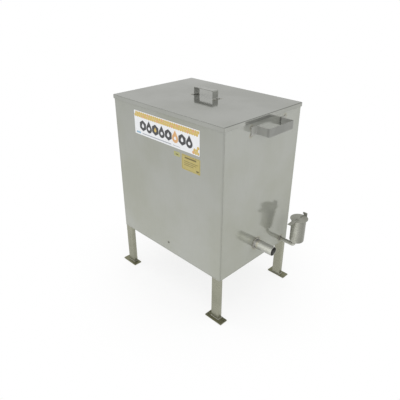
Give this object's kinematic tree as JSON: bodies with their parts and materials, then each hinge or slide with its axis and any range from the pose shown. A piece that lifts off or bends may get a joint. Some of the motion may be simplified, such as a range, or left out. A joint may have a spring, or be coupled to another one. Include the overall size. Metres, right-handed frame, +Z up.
{
  "type": "wax melter",
  "caption": "Free-standing stainless steel steam wax melter: tank on legs with lift-off lid, comb basket, sloped wax tray, outlet tube and hinged water filler cup.",
  "frame": {"origin": "on the floor under the middle of the tank", "axes": "+X towards the outlet end along the length of the tank, +Y towards the back, +Z up"},
  "size_m": [0.7705, 0.461, 0.8438],
  "materials": {
    "tank_sheet": "bright satin stainless sheet",
    "lid_sheet": "bright satin stainless sheet",
    "handle_strip": "polished flat strip",
    "tube_steel": "satin tube",
    "cap_steel": "satin plate",
    "pin_steel": "dull rivet and pin",
    "weld_bead": "brushed weld bead with heat tint",
    "leg_steel": "satin hollow section",
    "foot_steel": "dull mill finish plate",
    "tray_steel": "satin sheet",
    "bar_steel": "mill finish angle",
    "basket_sheet": "perforated sheet",
    "basket_frame": "satin bar and plate",
    "label_film": "printed film label"
  },
  "bodies": {
    "tank": {"tank_wall": "tank_sheet", "tank_bottom": "tank_sheet", "side_handle_left": "handle_strip", "side_handle_right": "handle_strip", "outlet_tube": "tube_steel", "filler_pipe": "tube_steel", "filler_cup": "tube_steel", "filler_hinge_bracket": "cap_steel", "filler_hinge_pin": "pin_steel", "tray_rivets": "pin_steel", "leg_front_left": "leg_steel", "leg_front_right": "leg_steel", "leg_back_left": "leg_steel", "leg_back_right": "leg_steel", "foot_plate_front_left": "foot_steel", "foot_plate_front_right": "foot_steel", "foot_plate_back_left": "foot_steel", "foot_plate_back_right": "foot_steel", "wax_tray": "tray_steel", "tray_bracket_front": "tray_steel", "tray_bracket_back": "tray_steel", "tray_foot_front": "tray_steel", "tray_foot_back": "tray_steel", "basket_bar_left": "bar_steel", "basket_bar_right": "bar_steel"},
    "lid": {"lid": "lid_sheet", "lid_handle": "handle_strip"},
    "basket": {"basket_floor": "basket_sheet", "basket_side_front": "basket_sheet", "basket_side_back": "basket_sheet", "basket_end_left": "basket_sheet", "basket_end_right": "basket_sheet", "basket_rim": "basket_frame", "basket_grip_left": "basket_frame", "basket_grip_right": "basket_frame"},
    "filler_cap": {"filler_cap": "cap_steel", "filler_cap_strap": "cap_steel", "filler_cap_tab": "cap_steel"}
  },
  "joints": [
    {"name": "basket_lift", "type": "slide", "parent": "tank", "child": "basket", "axis": [0, 0, 1], "range_m": [0, 0.55]},
    {"name": "lid_lift", "type": "slide", "parent": "tank", "child": "lid", "axis": [0, 0, 1], "range_m": [0, 1.1]},
    {"name": "filler_cap_hinge", "type": "hinge", "parent": "tank", "child": "filler_cap", "pos_m": [0.377, 0.2205, 0.3558], "axis": [-1, 0, 0], "range_deg": [0, 110]}
  ],
  "couplings": [
    {"joint": "lid_lift", "follows": "basket_lift", "ratio": 2}
  ]
}
